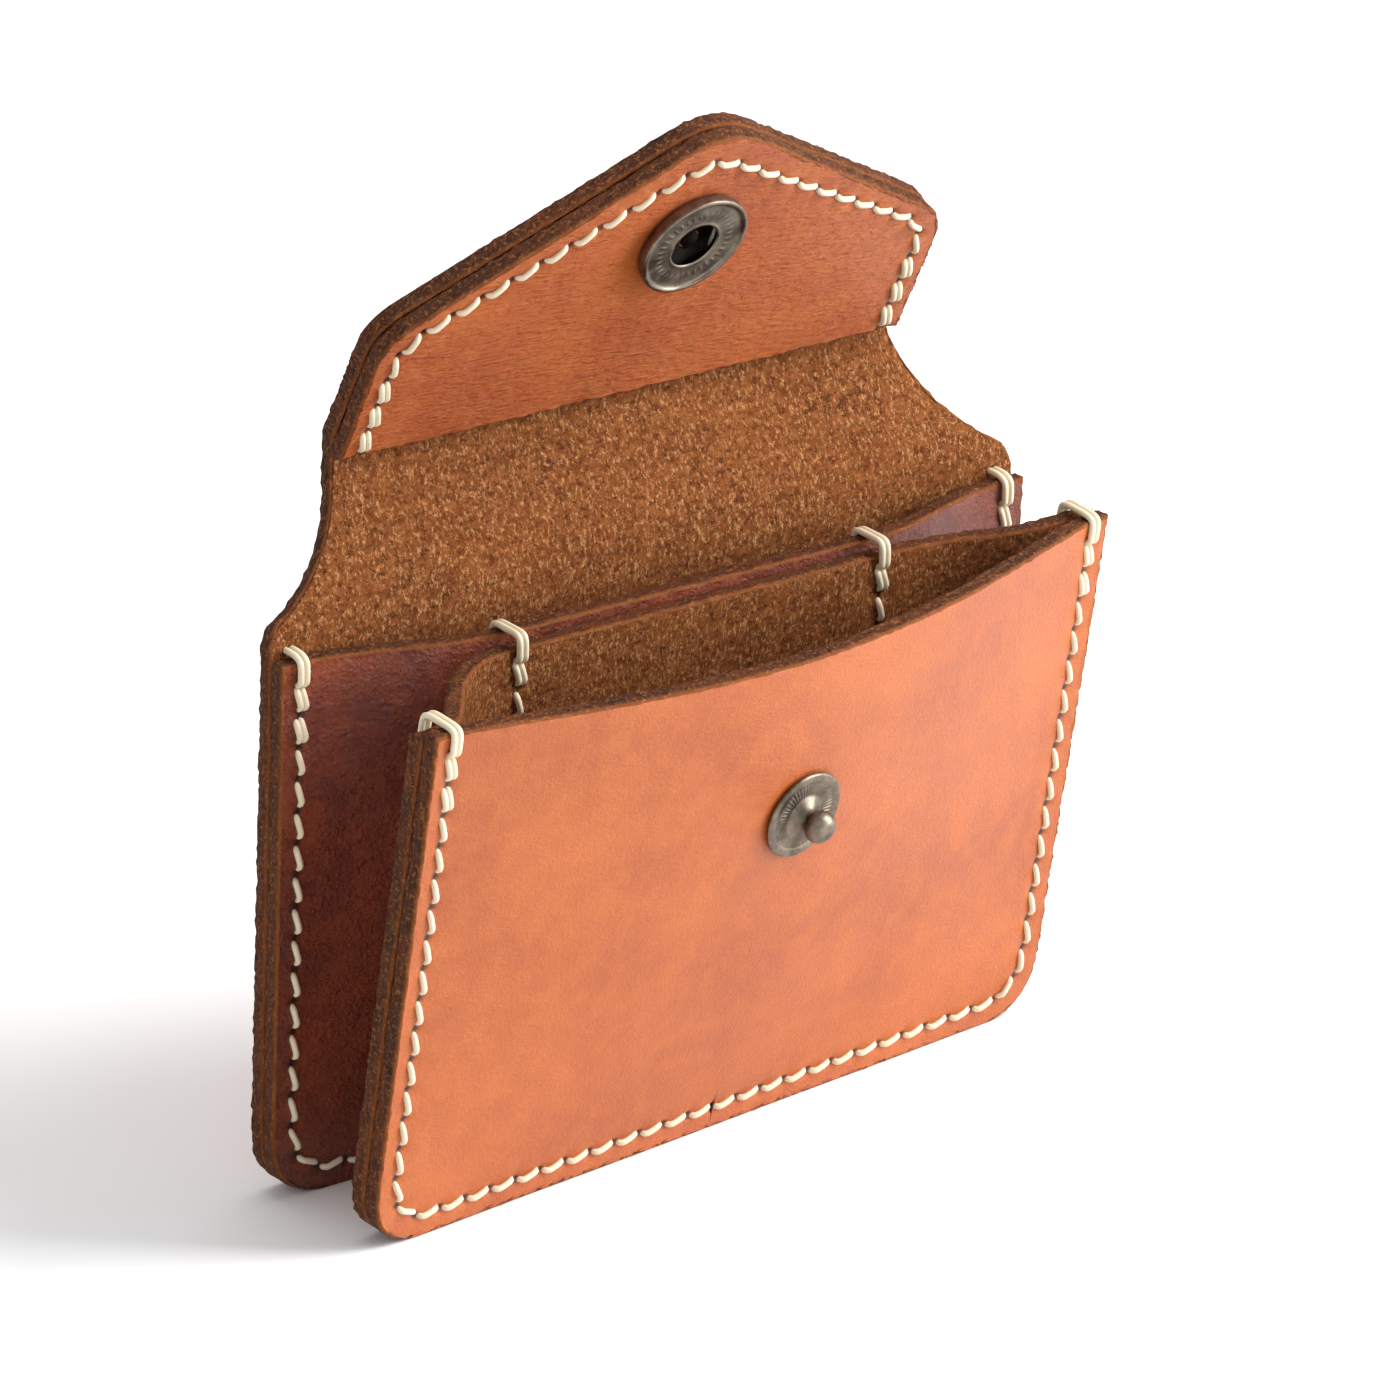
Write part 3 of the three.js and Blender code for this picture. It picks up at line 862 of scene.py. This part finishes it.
# A divider seam joins the liner to the rear pocket's panel: seen on the liner and inside the rear pocket.
def dividerHoles(x, offset):
    foot, top = holder["dividerFoot"] + 2, height - 2.4
    count = round((top - foot) / threadSize["pitch"])
    heights = [top - (top - foot) * k / count for k in range(count + 1)]
    return [rearFrame @ Vector((x, rearFace(x, z) + offset, z)) for z in heights]


dividerAhead = -holder["contactGap"] - hide


def dividerStitches(name, x):
    bm = bmesh.new()
    turn = rearFrame.to_3x3()
    for offset, out in ((dividerAhead, Vector((0, -1, 0))), (hide, Vector((0, 1, 0)))):
        holes = dividerHoles(x, offset)
        for i in range(len(holes) - 1):
            shifts = (-threadSize["pair"], threadSize["pair"]) if i < 1 else (0.0,)
            for shift in shifts:
                layStitch(bm, holes[i], holes[i + 1], turn @ out, shift)
    top = rearFace(x, height)
    for strand in (-threadSize["pair"], threadSize["pair"]):
        loop = [
            (dividerAhead + 0.6, -2.8),
            (dividerAhead - 0.3, -2.4),
            (dividerAhead - 0.42, -1.3),
            (dividerAhead - 0.3, 0.0),
            (dividerAhead + 0.3, 0.5),
            (-0.3, 0.56),
            (hide - 0.3, 0.5),
            (hide + 0.3, 0.0),
            (hide + 0.42, -1.3),
            (hide + 0.3, -2.4),
            (hide - 0.6, -2.8),
        ]
        points = [rearFrame @ Vector((x + strand, top + y, height + z)) for y, z in loop]
        layThread(bm, smoothRoute(points, 4), threadSize["loopRadius"])
    return threadPiece(name, bm)


leftDivider = dividerStitches("leftDividerStitches", -holder["dividerX"])
rightDivider = dividerStitches("rightDividerStitches", holder["dividerX"])


# The flap's seam: three doubled stitches up each straight side, single ones round the point.
def flapSeamLine():
    inset = holder["seamInset"]
    side, corner = flapHalf - inset, holder["flapSide"] - 0.5 * inset
    peak = holder["flapTip"] - 1.4 * inset
    right = [
        (side, holder["liningFoot"] + 0.4),
        (side, corner - 2),
        (side - 0.6, corner),
        (side - 2.3, corner + 1.8),
        (3.2, peak - 0.9),
        (0, peak),
    ]
    right = [Vector(p) for p in right]
    return [Vector((-p.x, p.y)) for p in right] + right[-2::-1]


flapHoles = stepAlong(flapSeamLine(), threadSize["pitch"])
liningFront = -hide / 2 - holder["plyGap"] - hide


def flapStitches(name, y, out, doubledCount):
    bm = bmesh.new()
    holes = onFace(flapFrame, y, flapHoles)
    out = flapFrame.to_3x3() @ Vector((0, out, 0))
    for i in range(len(holes) - 1):
        doubled = i < doubledCount or i > len(holes) - 2 - doubledCount
        for shift in (-threadSize["pair"], threadSize["pair"]) if doubled else (0.0,):
            layStitch(bm, holes[i], holes[i + 1], out, shift)
    return threadPiece(name, bm)


flapFaceStitches = flapStitches("flapFaceStitches", liningFront, -1, 3)
flapBackStitches = flapStitches("flapBackStitches", hide / 2, 1, 3)
print("stitches laid")

# The hide panels.


def ripple(point, seed):
    return sheet["waviness"] * noise.noise(Vector((point[0] * 0.05, seed, point[1] * 0.07)))


def pocketPlace(matrix, face, seed, table=pocketEdge):
    def place(u, z):
        x = u * halfWidth(table, z)
        return matrix @ Vector((x, face(x, z) + ripple((x, z), seed) * wing(x), z))

    return place


pocketColumns = round(width / sheet["step"])
pocketRows = rowHeights(0, height, sheet["step"], crowdLow=True)
frontHoles = onFace(frontFrame, 0, pocketHoles) + onFace(frontFrame, hide, pocketHoles)
frontMaterials = [tanGrain, flesh, edgeTan]


# The front panel is formed in two halves that meet under the stud.
def frontHalf(name, side):
    inverse = frontFrame.inverted()

    def place(u, z):
        x = side * (0.5 + 0.5 * side * u) * halfWidth(pocketEdge, z)
        return frontFrame @ Vector((x, frontFace(x, z) + ripple((x, z), 3) * wing(x), z))

    def middle(point):
        return abs((inverse @ point).x) < 1e-3

    columns = pocketColumns // 2
    return formHide(name, columns, pocketRows, place, frontMaterials, holes=frontHoles, seamless=[middle])


frontLeft = frontHalf("frontPanelLeft", -1)
frontRight = frontHalf("frontPanelRight", 1)

rearHoles = (
    onFace(rearFrame, 0, pocketHoles)
    + onFace(rearFrame, hide, pocketHoles)
    + [p for x in (-1, 1) for y in (0, hide) for p in dividerHoles(x * holder["dividerX"], y)]
)
rearPanel = formHide(
    "rearPocketPanel",
    pocketColumns,
    pocketRows,
    pocketPlace(rearFrame, rearFace, 7),
    [shadedTanGrain, flesh, edgeTan],
    holes=rearHoles,
)


linerTrim = 0.7  # its top edge is cut this much lower between the seams, clear of the closed flap


def linerPlace(u, z):
    x = u * halfWidth(pocketEdge, z)
    trimmed = linerTop(x) - linerTrim * ease((seamX - abs(x)) / (seamX - flapHalf))
    z = z * trimmed / height
    return frontFrame @ Vector((x, linerFace(x, z), z))


linerHoles = onFace(frontFrame, linerPlane, pocketHoles) + onFace(frontFrame, unitDepth, pocketHoles)
for side in (-1, 1):
    for y in (dividerAhead, -holder["contactGap"]):
        linerHoles += dividerHoles(side * holder["dividerX"], y)
linerCoarseness = 1.15  # its grid is this much coarser than the panels'
linerRows = rowHeights(0, height, sheet["step"] * linerCoarseness, crowdLow=True)
linerColumns = round(pocketColumns / linerCoarseness)
linerMaterials = [flesh, tanGrain, edgeTan]
liner = formHide("pocketLiner", linerColumns, linerRows, linerPlace, linerMaterials, holes=linerHoles)
print("pockets formed")


# The hide of the back, the neck and the flap is one piece: its middle line folds twice, softly.
foldSoftness = 4.0  # each fold rounds off over this length on both sides


def hideLine(v):
    r = foldSoftness
    for fold, below, above in ((foldV, backPoint, neckPoint), (flapV, neckPoint, flapPoint)):
        if abs(v - fold) < r:
            t = (v - fold + r) / (2 * r)
            a, m, b = below(fold - r), below(fold), above(fold + r)
            return a * (1 - t) ** 2 + m * (2 * t * (1 - t)) + b * t**2
    if v < foldV:
        return backPoint(v)
    return neckPoint(v) if v < flapV else flapPoint(v)


def backPoint(v):
    return rearFrame @ Vector((0, hideMiddle, v))


def neckPoint(v):
    return neckFrame @ Vector((0, 0, v - foldV))


def flapPoint(v):
    return flapFrame @ Vector((0, 0, v - flapV))


def backPlace(u, v):
    return hideLine(v) + Vector((u * backEdge(v), 0, 0))


def flapPlace(u, v):
    x = crowded(u) * backEdge(v)
    return hideLine(v if v < flapV else flapV + fanned(x, v - flapV)) + Vector((x, 0, 0))


neckMiddle = (foldV + flapV) / 2
backHoles = onFace(rearFrame, linerPlane, pocketHoles) + onFace(rearFrame, unitDepth, pocketHoles)
for side in (-1, 1):
    for y in (linerPlane, unitDepth):
        backHoles.append(rearFrame @ Vector((side * seamX, y, height + 0.75)))
flapPricks = onFace(flapFrame, hide / 2, flapHoles) + onFace(flapFrame, -hide / 2, flapHoles)


def atNeckMiddle(point):
    return (point - hideLine(neckMiddle)).dot(neckFrame.to_3x3() @ Vector((0, 0, 1))) ** 2 < 1e-6


backRows = rowHeights(0, neckMiddle, sheet["step"], crowdLow=True)
backPanel = formHide(
    "backAndLowerNeck",
    pocketColumns,
    backRows,
    backPlace,
    [flesh, tanGrain, edgeTan],
    centred=True,
    holes=backHoles,
    seamless=[atNeckMiddle],
)
flapRows = rowHeights(neckMiddle, tipV, sheet["step"])
flapPanel = formHide(
    "upperNeckAndFlap",
    round(2 * flapHalf / sheet["step"]),
    flapRows,
    flapPlace,
    [flesh, tanGrain, edgeTan],
    centred=True,
    holes=flapPricks,
    seamless=[atNeckMiddle],
)


def liningPlace(u, z):
    x = crowded(u) * flapHalf
    z = fanned(x, z)
    return flapFrame @ Vector((x, liningFront + ripple((x, z), 11) * 0.6, z))


liningRows = rowHeights(holder["liningFoot"], holder["flapTip"], sheet["step"])
lining = formHide(
    "flapLining",
    round(2 * flapHalf / sheet["step"]),
    liningRows,
    liningPlace,
    [liningGrain, flesh, edgeTan],
    holes=onFace(flapFrame, liningFront, flapHoles),
)
print("flap formed")


# The snap: profiles spun round the snap's axis, its leather side at z = 0.
def spun(name, profile, matrix, material, steps=160, shape=None, shaded=None):
    bm = bmesh.new()
    verts = [bm.verts.new((r, 0, z)) for r, z in profile]
    edges = [bm.edges.new(pair) for pair in zip(verts, verts[1:])]
    bmesh.ops.spin(
        bm,
        geom=verts + edges,
        cent=(0, 0, 0),
        axis=(0, 0, 1),
        dvec=(0, 0, 0),
        angle=2 * math.pi,
        steps=steps,
        use_merge=True,
    )
    bmesh.ops.remove_doubles(bm, verts=bm.verts[:], dist=1e-4)
    if shape:
        for vert in bm.verts:
            x, y, z = vert.co
            vert.co.z += shape(math.hypot(x, y), math.atan2(y, x), z)
    bmesh.ops.recalc_face_normals(bm, faces=bm.faces[:])
    for face in bm.faces:
        middle = face.calc_center_median()
        if shaded and shaded(math.hypot(middle.x, middle.y), middle.z):
            face.material_index = 1
    bmesh.ops.transform(bm, matrix=Matrix.Scale(mm, 4) @ matrix, verts=bm.verts[:])
    return finishPiece(name, bm, [material, cavityShadeBrass] if shaded else [material])


def arcOf(r, z, radius, start, end, steps=6):
    turn = [math.radians(start + (end - start) * k / steps) for k in range(steps + 1)]
    return [(r + radius * math.cos(a), z + radius * math.sin(a)) for a in turn]


studSlope = (frontFace(0, holder["studHeight"] + 0.5) - frontFace(0, holder["studHeight"] - 0.5)) / 1.0
studOut = Vector((0, -1, studSlope)).normalized()
studSeat = Vector((0, frontFace(0, holder["studHeight"]), holder["studHeight"]))
studTurn = Vector((0, 0, 1)).rotation_difference(studOut).to_matrix().to_4x4()
studFrame = frontFrame @ Matrix.Translation(studSeat + studOut * 0.12) @ studTurn
studProfile = [
    (1.4, 0),
    (5.2, 0),
    *arcOf(5.3, 0.3, 0.3, -90, 90, 8),
    (5.0, 0.62),
    (4.7, 0.58),
    (4.45, 0.46),
    *[(4.4 - 0.16 * k, 0.42) for k in range(11)],
    (2.7, 0.44),
    (2.5, 0.55),
    (2.2, 0.75),
    (1.85, 1.0),
    (1.6, 1.35),
    (1.48, 1.75),
    (1.5, 2.05),
    (1.66, 2.32),
    *arcOf(0.55, 3.1, 1.45, -30, 84, 14),
    (0, 4.56),
]
rays = {"count": 52, "inner": 2.7, "outer": 4.5, "height": 0.13}


def studRays(r, angle, z):
    if not (rays["inner"] < r < rays["outer"] and 0.3 < z < 0.6):
        return 0
    fade = math.sin(math.pi * (r - rays["inner"]) / (rays["outer"] - rays["inner"])) ** 0.5
    return rays["height"] * fade * (0.5 + 0.5 * math.cos(rays["count"] * angle))


stud = spun("snapStud", studProfile, studFrame, brass, steps=312, shape=studRays)
postProfile = [(0, -0.62), *arcOf(4.1, -0.36, 0.26, -90, 90, 6), (1.1, -0.06), (1.1, 3.9), (0, 3.9)]
postFrame = frontFrame @ Matrix.Translation(studSeat - studOut * (hide + 0.08)) @ studTurn
studPost = spun("studPost", postProfile, postFrame, brass, steps=64)

# The socket: a cup with a rounded rim, a flat ring stamped with a plain ring of beads, and a rolled mouth.
socketFlatness = 0.7  # the cup is pressed flatter than its outline below
socketAt = Matrix.Translation((0, liningFront - 0.1, holder["socketHeight"]))
socketFrame = flapFrame @ socketAt @ turned(90, "X") @ Matrix.Diagonal((1, 1, socketFlatness, 1))
socketProfile = [
    (1.4, 0),
    (6.6, 0),
    (6.9, 0.3),
    (7.02, 0.9),
    (7.05, 1.7),
    *arcOf(6.75, 2.05, 0.3, 0, 170, 8),
    (6.36, 1.98),
    (6.2, 1.9),
    *[(6.0 - 0.24 * k, 1.88) for k in range(11)],
    (3.45, 1.92),
    *arcOf(3.32, 1.72, 0.24, 80, 180, 6),
    (3.08, 1.45),
    (3.3, 1.35),
    (5.6, 1.35),
    (5.6, 0.5),
    (1.4, 0.5),
    (1.4, 0),
]
beads = {"count": 36, "radius": 4.8, "reach": 0.5, "height": 0.09}


def socketBeads(r, angle, z):
    if z < 1.8 or abs(r - beads["radius"]) > beads["reach"]:
        return 0
    across = 1 - ((r - beads["radius"]) / beads["reach"]) ** 2
    return beads["height"] * across * max(0, math.cos(beads["count"] * angle)) ** 0.7


# Faces inside the socket's cavity take the near-black painted shade material.
def inCavity(r, z):
    return r < 5.65 and 0.2 < z < 1.6


socket = spun(
    "snapSocket", socketProfile, socketFrame, brass, steps=288, shape=socketBeads, shaded=inCavity
)
capProfile = [
    (0, -2.7),
    (1.6, -2.66),
    (3.2, -2.52),
    (4.6, -2.24),
    (5.7, -1.82),
    (6.6, -1.25),
    (7.15, -0.75),
    *arcOf(7.2, -0.3, 0.3, -40, 90, 6),
    (7.0, 0),
    (6.5, -0.5),
    (1.1, -0.6),
    (1.1, 5.15),
    (0, 5.15),
]
capFrame = flapFrame @ Matrix.Translation((0, hide / 2 + 0.12, holder["socketHeight"])) @ turned(90, "X")
# The cap's post, above its leather side, takes the painted shade material too.
cap = spun("snapCap", capProfile, capFrame, brass, steps=128, shaded=lambda r, z: z > 0)


# The S-spring: two straight legs beside the mouth, joined round one side of the cavity.
springSize = {"leg": 2.8, "reach": 5.0, "level": 1.0, "wireRadius": 0.3}


def springRoute():
    leg, reach, level = springSize["leg"], springSize["reach"], springSize["level"]
    top = math.sqrt(reach**2 - leg**2)
    start = math.atan2(top, leg)
    points = [Vector((leg, -0.8 * top, level))]
    for k in range(19):
        angle = start + k * math.pi / 18
        points.append(Vector((reach * math.cos(angle), reach * math.sin(angle), level)))
    points.append(Vector((-leg, 0.8 * top, level)))
    return [socketFrame @ p for p in points]


springMesh = bmesh.new()
layThread(springMesh, smoothRoute(springRoute(), 3), springSize["wireRadius"], sides=10)
bmesh.ops.recalc_face_normals(springMesh, faces=springMesh.faces[:])
bmesh.ops.scale(springMesh, vec=(mm, mm, mm), verts=springMesh.verts[:])
spring = finishPiece("snapSpring", springMesh, [springSteel])
print("snap turned")


for piece, body, nodes in (
    (rearPanel, "rear_pocket", ["rear_pocket_panel"]),
    (rearStitches, "rear_pocket", ["rear_seam_thread"]),
    (leftDivider, "rear_pocket", ["divider_seam_left"]),
    (rightDivider, "rear_pocket", ["divider_seam_right"]),
    (frontStitches, "front_pocket", ["front_seam_thread"]),
    (stud, "stud", ["snap_stud"]),
    (studPost, "stud", ["stud_post"]),
    (lining, "flap", ["flap_lining"]),
    (flapFaceStitches, "flap", ["flap_seam_face_thread"]),
    (flapBackStitches, "flap", ["flap_seam_back_thread"]),
    (socket, "flap", ["snap_socket"]),
    (cap, "flap", ["snap_cap"]),
    (spring, "flap", ["snap_spring"]),
):
    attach(piece, body)
    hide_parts(*nodes)

for piece, side in ((frontLeft, -1), (frontRight, 1)):
    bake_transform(piece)
    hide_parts("front_panel")
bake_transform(liner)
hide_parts("pocket_liner")
tuple(hideLine(foldV - 2) * mm)
tuple(hideLine(foldV + 4) * mm)
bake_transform(backPanel)
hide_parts("back_panel", "flap_neck")
tuple(hideLine(flapV - 5) * mm)
tuple(hideLine(flapV + 2) * mm)
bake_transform(flapPanel)
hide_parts("flap_panel")
print("pieces joined to their bodies")

# Floor, light and camera.
studio = {"floorSize": 6, "floor": "#fafafa", "key": 25, "fill": 3, "top": 7, "low": 15, "sky": 0.52}
bm = bmesh.new()
bmesh.ops.create_grid(bm, x_segments=2, y_segments=2, size=studio["floorSize"])


# Matt painted board: pale and even, with no gloss of its own.
def boardFinish(tree):
    return {"Base Color": hexColour(studio["floor"]), "Roughness": 0.9}


floorMaterial = newMaterial("matteBoard", boardFinish)
floor = finishPiece("floor", bm, [floorMaterial])

world = bpy.data.worlds.new("studioSky")
world.use_nodes = True
world.node_tree.nodes["Background"].inputs[0].default_value = (1, 1, 1, 1)
world.node_tree.nodes["Background"].inputs[1].default_value = studio["sky"]
bpy.context.scene.world = world


def softLight(name, place, aim, size, power):
    light = bpy.data.lights.new(name, "AREA")
    light.shape = "SQUARE"
    light.size = size
    light.energy = power
    lamp = bpy.data.objects.new(name, light)
    lamp.location = place
    lamp.rotation_euler = (Vector(aim) - Vector(place)).to_track_quat("-Z", "Y").to_euler()
    bpy.context.scene.collection.objects.link(lamp)
    return lamp


softLight("keyWindow", (1.0, -0.75, 1.15), (0, 0, 0.05), 0.8, studio["key"])
softLight("fillCard", (-1.3, -1.2, 0.8), (0, 0, 0.05), 1.2, studio["fill"])
softLight("topPanel", (0.1, 0.3, 1.6), (0, 0, 0.05), 1.2, studio["top"])
softLight("lowCard", (1.05, -0.8, 0.35), (0, 0, 0.07), 0.6, studio["low"])

view = {
    "azimuth": -37.5,
    "elevation": 20.3,
    "distance": 1.2,
    "target": (0.00778, 0.01269, 0.04786),
    "lens": 263.4,
}
azimuth, elevation = math.radians(view["azimuth"]), math.radians(view["elevation"])
level = math.cos(elevation)
away = Vector((math.sin(azimuth) * level, -math.cos(azimuth) * level, math.sin(elevation)))
cameraData = bpy.data.cameras.new("camera")
cameraData.lens = view["lens"]
cameraData.sensor_width = 36
camera = bpy.data.objects.new("camera", cameraData)
camera.location = Vector(view["target"]) + away * view["distance"]
camera.rotation_euler = (-away).to_track_quat("-Z", "Y").to_euler()
bpy.context.scene.collection.objects.link(camera)
bpy.context.scene.camera = camera
bpy.context.scene.view_settings.view_transform = "Standard"
print("stage set")
